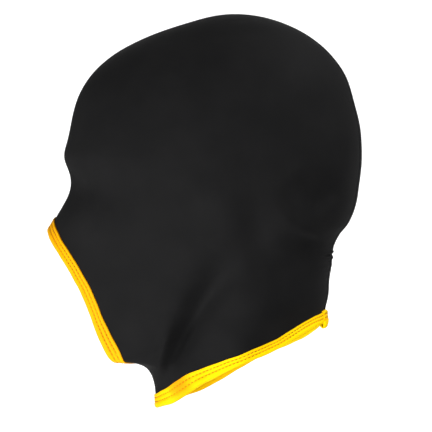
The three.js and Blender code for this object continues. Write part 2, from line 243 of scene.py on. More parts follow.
# Colours
KNIT_DARK = (0.0045, 0.0045, 0.0047, 1)
KNIT_LIGHT = (0.0067, 0.0066, 0.0068, 1)
KNIT_LOOP = (0.0105, 0.0104, 0.0105, 1)
FACE_YELLOW = (0.6, 0.28, 0.0005, 1)
# deeper orange of the face tape: painted shade along its edge and stitch rows, and its random mottling
FACE_SHADE_AND_TINT_ORANGE = (0.52, 0.17, 0.0004, 1)
NECK_YELLOW = (0.78, 0.52, 0.0005, 1)
# deeper orange of the neck tape: painted shade along its edge and stitch rows, its random mottling and its
# front
NECK_SHADE_AND_TINT_ORANGE = (0.68, 0.28, 0.0004, 1)
PALE_YELLOW = (0.7, 0.46, 0.004, 1)
PATCH_ORANGE = (0.55, 0.15, 0.0004, 1)
THREAD_DARK = (0.2, 0.055, 0.001, 1)
THREAD_LIGHT = (0.36, 0.12, 0.002, 1)
THREAD_FADED = (0.56, 0.24, 0.002, 1)
FLOOR_DARK = (0.9, 0.9, 0.9, 1)
FLOOR_LIGHT = (0.92, 0.92, 0.92, 1)
WHITE = (1, 1, 1, 1)

# Sizes of the weave and the knit, and the place of a darker orange patch on the neck tape, in metres
KNIT_WALE = 0.00078
KNIT_COURSE = 0.00060
TAPE_WEFT = 0.00062
TAPE_RIBS = 13  # in the tape's width
NECK_PATCH = (0.055, -0.0258, -0.2405)

# Stage, light and camera in metres
FLOOR = -1.4
SWEEP_NEAR = -2.5
SWEEP_BEND_FROM = 2.2
SWEEP_RADIUS = 0.9
SWEEP_BEND_POINTS = 24
SWEEP_TOP = 1.6
SWEEP_HALF_WIDTH = 0.9
WORLD_STRENGTH = 0.16
AZIMUTH = math.radians(102)
ELEVATION = math.radians(1.5)
DISTANCE = 1.6
HALF_PICTURE = 0.144
CAMERA_FAR = 50
AIM = np.array((2.6, -12.4, -132.8)) * MM
AWAY = np.array((-math.sin(AZIMUTH), math.cos(AZIMUTH), 0))  # level, from the camera
ASIDE = np.array((math.cos(AZIMUTH), math.sin(AZIMUTH), 0))
UP = np.array((0, 0, 1))


def smooth(t):
    """0 up to zero, 1 from one, and a soft step between."""
    t = np.clip(t, 0, 1)
    return t * t * (3 - 2 * t)


def bell(t):
    """1 at zero, falling away on both sides."""
    return np.exp(-t**2)


def length_of(v):
    return np.linalg.norm(v, axis=-1, keepdims=True)


def unit(v):
    return v / np.maximum(length_of(v), 1e-9)


def run_along(points):
    """Length from the first point of a line to each of its points, for one line or a stack of lines."""
    step = length_of(np.diff(points, axis=-2))[..., 0]
    return np.concatenate([np.zeros_like(step[..., :1]), np.cumsum(step, axis=-1)], -1)


def curve_of(rows, column, odd, exact_from=EXACT_BELOW):
    """A smooth curve through one column of a table, with the bends between its rows evened out."""
    at = np.sqrt(rows[:, 0])
    value = rows[:, column]
    rise = np.diff(value) / np.diff(at)
    slope = np.zeros_like(value)
    slope[0] = rise[0]
    slope[-1] = rise[-1]
    for i in range(1, len(rise)):
        if rise[i - 1] * rise[i] > 0:
            before = at[i] - at[i - 1]
            after = at[i + 1] - at[i]
            weighted = (2 * after + before) / rise[i - 1] + (after + 2 * before) / rise[i]
            slope[i] = 3 * (before + after) / weighted
    q = np.linspace(0, at[-1], CURVE_STEPS + 1)
    i = np.clip(np.searchsorted(at, q, side="right") - 1, 0, len(rise) - 1)
    step = at[i + 1] - at[i]
    t = (q - at[i]) / step
    rest = 1 - t
    exact = value[i] * rest**2 * (1 + 2 * t) + value[i + 1] * t**2 * (3 - 2 * t)
    exact += slope[i] * step * t * rest**2 - slope[i + 1] * step * t**2 * rest
    pad = 3 * EVEN_STEPS
    weight = np.exp(-0.5 * (np.arange(-pad, pad + 1) / EVEN_STEPS) ** 2)
    sign = -1 if odd else 1
    padded = np.concatenate([sign * exact[pad:0:-1], exact, np.full(pad, exact[-1])])
    evened = np.convolve(padded, weight / weight.sum(), mode="valid")
    keep = smooth((q**2 - exact_from) / EXACT_BLEND)
    result = evened * (1 - keep) + exact * keep
    return lambda below: np.interp(np.sqrt(np.maximum(below, 0)), q, result)


front_at = curve_of(FRONT_LINE, 1, True)
back_at = curve_of(BACK_LINE, 1, True, BACK_EXACT_BELOW)
half_at = curve_of(BREADTH, 1, True)
widest_at = curve_of(BREADTH, 2, False)
front_end_at = curve_of(BREADTH, 3, False)
back_end_at = curve_of(BREADTH, 4, False)


def plan_at(y, below):
    """Share of the way from the widest place to the front or back, and how blunt the plan is there."""
    widest = widest_at(below)
    off = y - widest
    back = smooth(off / PLAN_BLEND + 0.5)
    end = front_end_at(below) * (1 - back) + back_end_at(below) * back
    reach = np.maximum(widest - front_at(below), 1e-6)
    run_on = front_at(np.minimum(below, JAW_BELOW)) + JAW_SLOPE * np.maximum(below - JAW_BELOW, 0)
    side_reach = np.maximum(widest - run_on, reach)
    turn_in = np.maximum((-off / reach - JAW_SHARE) / (1 - JAW_SHARE), 0) ** 2
    ahead = -off / side_reach + (1 - reach / side_reach) * turn_in
    behind = off / np.maximum(back_at(below) - widest, 1e-6)
    return np.where(off < 0, ahead, behind), end


def half_width(y, below):
    """Half width of the plain form at a point of the side view."""
    share, end = plan_at(y, below)
    return half_at(below) * (1 - np.minimum(1, share**2)) ** end


def plain_form(p):
    """Zero on the plain form, positive outside."""
    below = np.maximum(CLOTH - p[:, 2], 1e-3)
    share, end = plan_at(p[:, 1], below)
    return (np.abs(p[:, 0]) / half_at(below)) ** (1 / end) + share**2 - 1


def fold_rise(y, below):
    """How far the folds lift the cloth at a point of the side view."""
    total = np.zeros_like(y)
    for y0, below0, y1, below1, reach, rise in FOLDS:
        run_y = y1 - y0
        run_below = below1 - below0
        length = math.hypot(run_y, run_below)
        along = ((y - y0) * run_y + (below - below0) * run_below) / length**2
        side = ((y - y0) * run_below - (below - below0) * run_y) / length / reach
        total += rise * bell(side) * smooth(along / FOLD_FADE) * smooth((1 - along) / FOLD_FADE)
    return total


def relief(p):
    """How far the cloth stands off the plain form."""
    x = np.abs(p[:, 0])
    y = p[:, 1]
    below = CLOTH - p[:, 2]
    # the folds under the jaw stay on its sides
    sides_from = FOLDS_OFF_CENTRE + FOLDS_OFF_CHIN * smooth((UNDER_CHIN_FROM - y) / FRONT_BLEND)
    total = fold_rise(y, below) * np.where(y < 0, smooth((x - sides_from) / FOLD_SIDE_BLEND), 1)
    front = smooth((FACE_FROM - y) / FRONT_BLEND)
    for across, level, reach_across, reach_down, rise in FRONT_ROUNDS:
        total += rise * bell((x - across) / reach_across) * bell((below - level) / reach_down) * front
    for middle, level, reach_y, reach_down, rise in SIDE_ROUNDS:
        total += rise * bell((y - middle) / reach_y) * bell((below - level) / reach_down)
    return total


def gradient(field, p):
    """Slope of a field along each axis."""
    step = 0.05
    slopes = []
    for axis in range(3):
        shift = np.zeros(3)
        shift[axis] = step
        slopes.append((field(p + shift) - field(p - shift)) / (2 * step))
    return np.stack(slopes, 1)


def cloth_form(p):
    """About the distance from the outside of the cloth."""
    return plain_form(p) / np.maximum(length_of(gradient(plain_form, p))[:, 0], 1e-6) - relief(p)


def normal_at(p):
    return unit(gradient(cloth_form, p))


def settle(p):
    """Points on the outside of the cloth, straight out or in from points near the plain form."""
    p = p.copy()
    way = unit(gradient(plain_form, p))
    upright = smooth((np.hypot(way[:, 0], way[:, 1]) - WALL_FROM) / WALL_BLEND)
    low = smooth((CLOTH - p[:, 2] - LEVEL_BELOW) / LEVEL_BLEND)
    way[:, 2] *= 1 - upright * low * smooth((np.abs(p[:, 0]) - LEVEL_OFF_CENTRE) / LEVEL_SIDE_BLEND)
    way = unit(way)
    for _ in range(SETTLE_ROUNDS):
        slope = (gradient(cloth_form, p) * way).sum(1)
        p -= way * (cloth_form(p) / np.maximum(slope, LEAST_SLOPE))[:, None]
    return p


def spaced(line, distances):
    """Points at given distances along a line that is drawn in the side view and lies on the form."""
    y, below = line((1 - np.cos(np.pi * np.linspace(0, 1, LINE_STEPS + 1))) / 2)
    points = np.stack([half_width(y, below), y, CLOTH - below], 1)
    run = run_along(points)
    goal = distances(run[-1])
    return np.stack([np.interp(goal, run, points[:, k]) for k in range(3)], 1)


def even(count):
    """Distances for a number of equal steps."""
    return lambda length: np.linspace(0, length, count + 1)


def fine_at_ends(length):
    """Distances that lie close together beside the seams and are even between."""
    near = np.array(EDGE_STEPS) * min(1, length / SHORT_ROW)
    middle = np.linspace(near[-1], length - near[-1], INNER_COLUMNS + 1)[1:-1]
    return np.concatenate([near, middle, length - near[::-1]])


def face_edge(t):
    """Edge of the face opening from the nose to the chin, seen from the side."""
    rest = 1 - t
    ends = ((front_at(NOSE_EDGE), NOSE_EDGE), *FACE_EDGE_PULLS, (front_at(CHIN_EDGE), CHIN_EDGE))
    weights = (rest**3, 3 * rest**2 * t, 3 * rest * t**2, t**3)
    y = sum(weight * end[0] for weight, end in zip(weights, ends))
    below = sum(weight * end[1] for weight, end in zip(weights, ends))
    return y, below


def throat_line(t):
    """Centre line from the chin to the neck edge, seen from the side."""
    below = CHIN_EDGE + (THROAT_EDGE - CHIN_EDGE) * t
    return front_at(below), below


def neck_wave(t):
    """How far the neck edge hangs below a straight line from throat to nape."""
    return NECK_EDGE_WAVE * np.sin(np.pi * np.abs(2 * t - 1) ** NECK_EDGE_SPREAD) ** 2


def neck_edge(t):
    """Neck edge from the throat to the nape, seen from the side."""
    y = front_at(THROAT_EDGE) * (1 - t) + back_at(NAPE_EDGE) * t
    return y, THROAT_EDGE * (1 - t) + NAPE_EDGE * t + neck_wave(t)


def panel_rows():
    """Rows of points on the outside of the left half from the crown down, and which start on the seam."""
    fronts = []
    backs = []
    for i in range(1, CROWN_ROWS + 1):
        below = NOSE_EDGE * (i / CROWN_ROWS) ** CROWN_CROWDING
        fronts.append((front_at(below), below))
        backs.append(below)
    for _, y, z in spaced(face_edge, even(FACE_ROWS))[1:]:
        fronts.append((y, CLOTH - z))
    for _, _, z in spaced(throat_line, even(THROAT_ROWS))[1:]:
        fronts.append((front_at(CLOTH - z), CLOTH - z))
    lower = FACE_ROWS + THROAT_ROWS
    backs += [NOSE_EDGE + (NAPE_EDGE - NOSE_EDGE) * (i + 1) / lower for i in range(lower)]
    hangs = [0] * CROWN_ROWS + [((i + 1) / lower) ** 2 for i in range(lower)]
    rows = []
    for (y0, below0), below1, hang in zip(fronts, backs, hangs):
        y1 = back_at(below1)

        def across(t):
            return y0 + (y1 - y0) * t, below0 + (below1 - below0) * t + hang * neck_wave(t)

        rows.append(spaced(across, fine_at_ends))
    rows = np.array(rows)
    rows = settle(rows.reshape(-1, 3)).reshape(rows.shape)
    on_centre = np.ones(len(rows), bool)
    on_centre[CROWN_ROWS:CROWN_ROWS + FACE_ROWS - 1] = False
    rows[on_centre, 0, 0] = 0
    rows[:, -1, 0] = 0
    return rows, on_centre


def mesh_piece(name, points, faces, uvs, material):
    """A mesh object from points in millimetres. uvs holds one pair for each corner of each face."""
    mesh = bpy.data.meshes.new(name)
    mesh.from_pydata((points * MM).tolist(), [], faces)
    layer = mesh.uv_layers.new(name="run")
    layer.data.foreach_set("uv", np.asarray(uvs, dtype=np.float32).ravel())
    mesh.polygons.foreach_set("use_smooth", [True] * len(mesh.polygons))
    mesh.update()
    piece = bpy.data.objects.new(name, mesh)
    bpy.context.collection.objects.link(piece)
    mesh.materials.append(material)
    return piece


def puckers(y, below, from_seam):
    """Height of the small waves that cross the seam."""
    long_wave = np.sin(2 * np.pi * below / NAPE_PUCKER_LONG_WAVE)
    short_wave = np.sin(2 * np.pi * below / NAPE_PUCKER_SHORT_WAVE + 1)
    nape = bell((below - NAPE_PUCKER_BELOW) / NAPE_PUCKER_REACH_DOWN) * bell(from_seam / NAPE_PUCKER_REACH)
    nape = nape * (long_wave + NAPE_PUCKER_SHORT * short_wave) * (y > 0)
    seam = np.sin(2 * np.pi * below / SEAM_PUCKER_WAVE + 1) * bell(from_seam / SEAM_PUCKER_REACH)
    seam = seam * smooth((below - SEAM_PUCKER_FROM) / SEAM_PUCKER_BLEND)
    return NAPE_PUCKER * nape + SEAM_PUCKER * seam


def cloth_panel(name, rows, on_centre, side, material):
    """One half of the hood: outside, inside, and the cut edge between them."""
    count, columns = rows.shape[:2]
    outside = np.vstack([[0, 0, CLOTH], rows.reshape(-1, 3)])
    normals = np.vstack([[0, 0, 1], normal_at(rows.reshape(-1, 3))])
    # distance from the seam along the row, at the front and at the back
    run = run_along(rows)
    from_back = run[:, -1:] - run
    from_front = np.where(on_centre[:, None], run, np.inf)
    from_seam = np.concatenate([[0], np.minimum(from_front, from_back).ravel()])
    dip = SEAM_DIP * np.clip(1 - from_seam / SEAM_ROLL, 0, 1) ** 2
    pucker = puckers(outside[:, 1], CLOTH - outside[:, 2], from_seam)
    outer = outside + normals * (pucker - dip)[:, None]
    # the seam allowance is trimmed away where a tape crosses the seam
    nose_row = np.argmin(on_centre) - 1
    chin_row = count - np.argmin(on_centre[::-1])
    crossings = np.stack([rows[nose_row, 0], rows[chin_row, 0], rows[-1, 0], rows[-1, -1]])
    from_tape = length_of(outside[:, None] - crossings)[..., 0].min(axis=1)
    allowance = ALLOWANCE_RISE * smooth((ALLOWANCE_WIDTH - from_seam) / ALLOWANCE_BEVEL)
    allowance = allowance * smooth((from_tape - TRIM_OFF_TAPE) / TRIM_BLEND)
    wall = CLOTH + allowance - dip * INNER_DIP_SHARE
    inner = outside - normals * wall[:, None]
    points = np.vstack([outer, inner])
    points[:, 0] = side * (np.maximum(points[:, 0], 0) + SEAM_HALF_GAP)
    shift = len(outer)
    at = 1 + np.arange(count * columns).reshape(count, columns)
    skin = [(0, int(at[0, j]), int(at[0, j + 1])) for j in range(columns - 1)]
    quads = np.stack([at[:-1, :-1], at[1:, :-1], at[1:, 1:], at[:-1, 1:]], -1).reshape(-1, 4)
    skin += [tuple(q) for q in quads.tolist()]
    border = [0, *at[:, 0].tolist(), *at[-1, 1:].tolist(), *at[-2::-1, -1].tolist()]
    faces = skin + [tuple(v + shift for v in reversed(f)) for f in skin]
    faces += [(b, a, a + shift, b + shift) for a, b in zip(border, border[1:] + border[:1])]
    if side > 0:
        faces = [tuple(reversed(f)) for f in faces]
    u = np.concatenate([[0], from_back.ravel()])
    v = np.concatenate([[0], np.repeat(run_along(rows[:, columns // 2]), columns)])
    uv = np.stack([np.tile(u, 2), np.tile(v, 2)], 1) * MM
    corners = np.concatenate([np.array(f) for f in faces])
    return mesh_piece(name, points, faces, uv[corners], material)


class Edge:
    """A closed edge of the hood, with the directions that a tape on it needs at each point of its length."""

    def __init__(self, line, inward, reach):
        half = settle(spaced(line, even(EDGE_POINTS)))
        half[0, 0] = 0
        half[-1, 0] = 0
        loop = np.vstack([half, half[-2:0:-1] * (-1, 1, 1)])
        step = length_of(np.roll(loop, -1, axis=0) - loop)[:, 0]
        self.length = step.sum()
        self.run = np.concatenate([[0], np.cumsum(step)])[:-1]
        along = unit(np.roll(loop, -1, axis=0) - np.roll(loop, 1, axis=0))
        over = unit(np.cross(normal_at(loop), along))
        self.over = over * np.sign(over @ np.array(inward))[:, None]
        self.reach = reach(loop)
        shares = np.linspace(0, 1, REACH_POINTS)
        self.base = [settle(loop + self.over * (self.reach * share)[:, None]) for share in shares]
        self.lift = [normal_at(points) for points in self.base]
        self.base[0] = loop

    def pick(self, values, s):
        s = np.mod(s, self.length)
        if values.ndim == 1:
            return np.interp(s, self.run, values, period=self.length)
        return np.stack([np.interp(s, self.run, values[:, k], period=self.length) for k in range(3)], -1)

    def reach_at(self, s):
        return self.pick(self.reach, s)

    def place(self, s, a, h):
        """Points at length s, a over the cloth from its edge (negative beyond it) and h off its outside."""
        s, a, h = np.broadcast_arrays(s, a, h)
        where = np.clip(a / self.reach_at(s), 0, 1) * (REACH_POINTS - 1)
        low = np.minimum(where.astype(int), REACH_POINTS - 2)
        part = (where - low)[..., None]
        point = np.zeros(s.shape + (3,))
        for k in range(REACH_POINTS - 1):
            use = low == k
            if not use.any():
                continue
            t = part[use]
            p = self.pick(self.base[k], s[use]) * (1 - t) + self.pick(self.base[k + 1], s[use]) * t
            n = unit(self.pick(self.lift[k], s[use]) * (1 - t) + self.pick(self.lift[k + 1], s[use]) * t)
            point[use] = p + n * h[use][:, None]
        beyond = np.minimum(a, 0) + np.maximum(a - self.reach_at(s), 0)
        return point + self.pick(self.over, s) * beyond[..., None]


def face_reach(loop):
    """How far the face tape reaches over the cloth at each point of its edge."""
    cheek = smooth(length_of(loop - loop[0])[:, 0] / CHEEK_FROM_NOSE)
    chin = smooth((CLOTH - loop[:, 2] - CHIN_WIDTH_FROM) / CHIN_WIDTH_RUN)
    reach = FACE_TAPE_REACH_NOSE + (FACE_TAPE_REACH - FACE_TAPE_REACH_NOSE) * cheek
    return reach + (FACE_TAPE_REACH_CHIN - FACE_TAPE_REACH) * chin


def neck_reach(loop):
    """How far the neck tape reaches over the cloth at each point of its edge."""
    y = loop[:, 1]
    share = smooth((FRONT_WIDTH_FROM - y) / FRONT_WIDTH_RUN)
    from_nape = length_of(loop - loop[np.argmax(y)])[:, 0]
    swell = NECK_TAPE_SWELL * bell((y - NECK_SWELL_Y) / NECK_SWELL_REACH)
    swell = swell + NAPE_SWELL * bell(from_nape / NAPE_SWELL_REACH)
    return NECK_TAPE_REACH_BACK + (NECK_TAPE_REACH_FRONT - NECK_TAPE_REACH_BACK) * share + swell


class Tape:
    """A folded tape. t runs along the tape, s = at(t) along the edge, and past lap it lies over its start."""

    def __init__(self, edge, length, at, phase, lap=None):
        self.edge = edge
        self.length = length
        self.at = at
        self.phase = phase
        self.lap = lap

    def past_lap(self, t, margin, run):
        """0 up to a margin past the lap, 1 from a run further on."""
        if self.lap is None:
            return np.zeros_like(t)
        return smooth((t - self.lap - margin) / run)

    def lift(self, t):
        return LAP_LIFT * self.past_lap(t, -LAP_MARGIN, LAP_LIFT_RUN)

    def waves(self, t, table):
        return sum(height * np.sin(t / length + share * self.phase) for height, length, share in table)

    def reach(self, t):
        """How far the tape reaches over the cloth, a little unevenly."""
        wider = LAP_WIDER * self.past_lap(t, LAP_MARGIN, LAP_WIDER_RUN)
        return self.edge.reach_at(self.at(t)) - EDGE_BACK + self.waves(t, EDGE_WAVES) + wider

    def depth(self, t):
        """How far the fold stands beyond the cloth's edge, a little unevenly."""
        drop = LAP_DROP * self.past_lap(t, LAP_MARGIN, LAP_DROP_RUN)
        return FOLD_DEPTH + self.waves(t, FOLD_WAVES) + self.lift(t) + drop

    def row(self, t, share):
        """Where a row of stitches lies."""
        reach = self.reach(t)
        return reach - share * (reach + FOLD_DEPTH)

    def top(self, t, a):
        """Height of the tape's outside, drawn in along the rows of stitches."""
        first, second = (self.row(t, share) for share in STITCH_ROWS)
        rounds = (  # place, rise, reach
            (second - 1.9, 0.35, 1.5),  # along the fold
            ((first + second) / 2, 0.14, 0.9),  # between the rows
            ((first + self.reach(t)) / 2, 0.1, 0.9),  # along the edge on the cloth
        )
        height = TAPE_GAP + TAPE + self.lift(t)
        for place, rise, reach in rounds:
            height = height + rise * bell((a - place) / reach)
        needle = 0.5 + 0.5 * np.cos(2 * np.pi * t / STITCH_PITCH)
        for place in (first, second):
            height = height - (GROOVE + NEEDLE_DIP * needle**3) * bell((a - place) / GROOVE_REACH)
        longest, middle, shortest = SWELL_LENGTHS
        swell = np.sin(t / longest + 1) * np.sin(t / middle + self.phase)
        swell = swell + SWELL_SHORT * np.sin(t / shortest + 3 * self.phase)
        return height + SWELL * swell * bell((a - second + SWELL_OFF_ROW) / SWELL_REACH)

    def section(self, t):
        """Outer and inner path of the section at each t, from the outer leg's edge round to the inner's."""
        t = t[:, None]
        reach = self.reach(t)
        depth = self.depth(t)
        lift = self.lift(t)
        half = TAPE / 2
        under = -CLOTH - TAPE_GAP
        bottom = under - TAPE - LAP_INNER_LIFT * lift
        edge_top = self.top(t, reach - half)
        edge_a = reach - half + half * np.cos(OUTER_EDGE_TURNS)
        edge_h = (TAPE_GAP + edge_top) / 2 + (edge_top - TAPE_GAP) / 2 * np.sin(OUTER_EDGE_TURNS)
        leg_share = np.linspace(1, 0, LEG_POINTS)
        leg_a = (reach - half) * leg_share
        crest = self.top(t, np.zeros_like(t))
        turn = np.linspace(0, math.pi, FOLD_POINTS + 2)[1:-1]
        fold_a = -depth * np.sin(turn) ** FOLD_BLUNTNESS
        fold_h = (crest + bottom) / 2 + (crest - bottom) / 2 * np.cos(turn)
        fold_inner_h = -CLOTH / 2 + (CLOTH / 2 + TAPE_GAP) * np.cos(turn)
        inner_share = np.linspace(0, 1, INNER_LEG_POINTS)
        inner_a = (reach - INNER_LEG_SHORTER) * inner_share
        inner_h = bottom + INNER_LEG_BOW * np.sin(inner_share * math.pi)
        end_a = reach - INNER_LEG_SHORTER + half * np.cos(INNER_EDGE_TURNS)
        end_h = bottom + half - half * np.sin(INNER_EDGE_TURNS)
        paths = (  # outer_a, outer_h, inner_a, inner_h
            (edge_a, edge_h, edge_a - EDGE_TUCK, TAPE_GAP),
            (leg_a, self.top(t, leg_a), leg_a, TAPE_GAP + lift * (leg_share < 1)),
            (fold_a, fold_h, -(depth - TAPE) * np.sin(turn), fold_inner_h),
            (inner_a, inner_h, inner_a, under),
            (end_a, end_h, end_a - EDGE_TUCK, under),
        )
        return [np.hstack([np.broadcast_to(path[k], path[0].shape) for path in paths]) for k in range(4)]

    def across(self, t, outer_a, outer_h):
        """Share of the tape's width at each point of the outer path, over 1 past the fold."""
        run = run_along(np.stack([outer_a, outer_h], -1))
        return run / (self.reach(t) + self.depth(t))[:, None]

    def build(self, name, material):
        """The tape as a closed ring, or with two closed ends where it is lapped."""
        count = int(round(self.length / STATION_STEP))
        t = np.linspace(0, self.length, count + 1)
        outer_a, outer_h, inner_a, inner_h = self.section(t)
        closed = self.lap is None
        if not closed:
            # the free end is turned under and rounded
            near = np.clip((self.length - t) / FREE_END_ROUND, 0, 1)[:, None]
            left = FREE_END_LEFT + (1 - FREE_END_LEFT) * np.sqrt(1 - (1 - near) ** 2)
            outer_h = inner_h + (outer_h - inner_h) * left
        s = self.at(t)[:, None]
        outer = self.edge.place(s, outer_a, outer_h)
        inner = self.edge.place(s, inner_a, inner_h)
        ring = np.concatenate([outer, inner[:, ::-1]], 1)
        across = self.across(t, outer_a, outer_h)
        u = t * MM
        v = np.concatenate([across, across[:, ::-1]], 1)
        if closed:
            ring = ring[:-1]
        stations, around = ring.shape[:2]
        faces = []
        uvs = []
        for k in range(count):
            after = (k + 1) % stations
            for i in range(around):
                j = (i + 1) % around
                faces.append((k * around + i, k * around + j, after * around + j, after * around + i))
                uvs += [(u[k], v[k, i]), (u[k], v[k, j])]
                uvs += [(u[k + 1], v[k + 1, j]), (u[k + 1], v[k + 1, i])]
        if not closed:
            for k, turned in ((0, False), (stations - 1, True)):
                for i in range(around // 2 - 1):
                    face = [i, around - 1 - i, around - 2 - i, i + 1]
                    if turned:
                        face.reverse()
                    faces.append(tuple(k * around + f for f in face))
                    uvs += [(u[k], v[k, f]) for f in face]
        points = ring.reshape(-1, 3)
        p, q, r = (points[[f[k] for f in faces]] for k in range(3))
        if np.einsum("ij,ij->i", p, np.cross(q, r)).sum() < 0:
            faces = [tuple(reversed(f)) for f in faces]
            uvs = [uvs[4 * k + c] for k in range(len(faces)) for c in (3, 2, 1, 0)]
        return mesh_piece(name, points, faces, uvs, material)

    def stitches(self, name, material):
        """Short stitches of thread along both rows, outside and inside."""
        number = int(self.length / STITCH_PITCH)
        start = (np.arange(number) + 0.5) * STITCH_PITCH
        along = np.linspace(-0.5, 0.5, STITCH_POINTS)
        arch = 1 - (2 * along) ** 4
        radius = THREAD_RADIUS * np.sqrt(np.clip(1 - np.abs(2 * along) ** 5, THREAD_TIP, 1))
        turn = (2 * math.pi / THREAD_SIDES * np.arange(THREAD_SIDES))[:, None]
        t = start[:, None] + STITCH_LENGTH * along
        s = self.at(t)
        tubes = []
        for share in STITCH_ROWS:
            row = self.row(t, share)
            inner_row = np.minimum(row, self.edge.reach_at(s) - INNER_STITCH_MARGIN)
            outside = self.top(t, row) + STITCH_ARCH * arch - STITCH_SUNK
            inside = -CLOTH - TAPE_GAP - TAPE - INNER_STITCH_ARCH * arch
            for a, h in ((row, outside), (inner_row, inside)):
                centre = self.edge.place(s, a, h)
                up = unit(self.edge.place(s, a, h + TAPE) - centre)
                beside = unit(np.cross(unit(np.gradient(centre, axis=1)), up))
                ring = beside[..., None, :] * np.cos(turn) + up[..., None, :] * np.sin(turn)
                tubes.append(centre[..., None, :] + radius[:, None, None] * ring)
        points = np.array(tubes).reshape(-1, 3)
        # the faces of one stitch, which are the same for all
        faces = []
        uvs = []
        for i in range(STITCH_POINTS - 1):
            low = i * THREAD_SIDES
            high = low + THREAD_SIDES
            for j in range(THREAD_SIDES):
                after = (j + 1) % THREAD_SIDES
                faces.append((low + j, low + after, high + after, high + j))
                uvs += [(along[i], j / THREAD_SIDES), (along[i], (j + 1) / THREAD_SIDES)]
                uvs += [(along[i + 1], (j + 1) / THREAD_SIDES), (along[i + 1], j / THREAD_SIDES)]
        size = STITCH_POINTS * THREAD_SIDES
        faces.append(tuple(reversed(range(THREAD_SIDES))))
        faces.append(tuple(range(size - THREAD_SIDES, size)))
        uvs += [(-0.5, 0.5)] * THREAD_SIDES + [(0.5, 0.5)] * THREAD_SIDES
        starts = range(0, len(points), size)
        all_faces = [tuple(first + f for f in face) for first in starts for face in faces]
        return mesh_piece(name, points, all_faces, uvs * len(starts), material)


class Shader:
    """A principled material that is put together from nodes."""

    def __init__(self, name):
        self.material = bpy.data.materials.new(name)
        self.material.use_nodes = True
        self.tree = self.material.node_tree
        self.surface = self.tree.nodes["Principled BSDF"]

    def put(self, socket, value):
        if isinstance(value, bpy.types.NodeSocket):
            self.tree.links.new(value, socket)
        else:
            socket.default_value = value

    def node(self, kind, inputs=(), **settings):
        made = self.tree.nodes.new("ShaderNode" + kind)
        for key, value in settings.items():
            setattr(made, key, value)
        for key, value in dict(inputs).items():
            self.put(made.inputs[key], value)
        return made

    def math(self, operation, a, b=0.0, c=0.0):
        return self.node("Math", {0: a, 1: b, 2: c}, operation=operation).outputs[0]

    def times(self, a, b):
        return self.math("MULTIPLY", a, b)

    def wave(self, value, turns):
        """A sine that goes round a number of turns for each unit of a value."""
        return self.math("SINE", self.times(value, 2 * math.pi * turns))

    def run(self):
        """The two lengths that the pieces carry, as separate numbers."""
        parts = self.node("SeparateXYZ", {0: self.node("UVMap", uv_map="run").outputs[0]})
        return parts.outputs[0], parts.outputs[1]

    def place(self):
        return self.node("TexCoord").outputs["Object"]

    def noise(self, vector, scale, detail=3.0, roughness=0.55):
        inputs = {"Vector": vector, "Scale": scale, "Detail": detail, "Roughness": roughness}
        return self.node("TexNoise", inputs).outputs[0]

    def between(self, value, low, high, to_low=0.0, to_high=1.0):
        inputs = {0: value, 1: low, 2: high, 3: to_low, 4: to_high}
        return self.node("MapRange", inputs, interpolation_type="SMOOTHSTEP").outputs[0]

    def mix(self, share, first, second):
        made = self.node("Mix", data_type="RGBA")
        self.put(made.inputs[0], share)
        self.put(made.inputs[6], first)
        self.put(made.inputs[7], second)
        return made.outputs[2]

    def set(self, **values):
        for key, value in values.items():
            self.put(self.surface.inputs[key.replace("_", " ")], value)

    def bump(self, height, distance, strength, under=None):
        inputs = {"Height": height, "Distance": distance, "Strength": strength}
        if under is not None:
            inputs["Normal"] = under
        return self.node("Bump", inputs).outputs[0]


def knit_material():
    """Black knit: rows of small slanted loops under a soft cloud of shade."""
    shader = Shader("black_knit")
    u, v = shader.run()
    place = shader.place()
    wale = shader.times(u, 1 / KNIT_WALE)
    course = shader.times(v, 1 / KNIT_COURSE)
    leg = shader.math("ABSOLUTE", shader.math("SUBTRACT", shader.math("FRACT", wale), 0.5))
    ridge = shader.wave(leg, 1)
    loop = shader.wave(shader.math("ADD", course, leg), 1)
    stitch = shader.times(ridge, shader.math("MULTIPLY_ADD", loop, 0.35, 0.65))
    cloud = shader.noise(place, scale=38.0, detail=4.0)
    fibre = shader.noise(place, scale=1900.0, detail=2.0, roughness=0.7)
    shade = shader.math("MULTIPLY_ADD", fibre, 0.35, shader.times(cloud, 0.65))
    colour = shader.mix(shader.between(shade, 0.3, 0.72), KNIT_DARK, KNIT_LIGHT)
    shader.set(Base_Color=shader.mix(shader.times(stitch, 0.35), colour, KNIT_LOOP))
    shader.set(Roughness=shader.math("MULTIPLY_ADD", shade, 0.2, 0.55))
    soft = shader.bump(cloud, distance=0.0012, strength=0.25)
    shader.set(Normal=shader.bump(stitch, distance=0.00009, strength=0.55, under=soft))
    shader.surface.inputs["Specular IOR Level"].default_value = 0.02
    shader.surface.inputs["Sheen Weight"].default_value = 0.01
    shader.surface.inputs["Sheen Roughness"].default_value = 0.4
    return shader.material


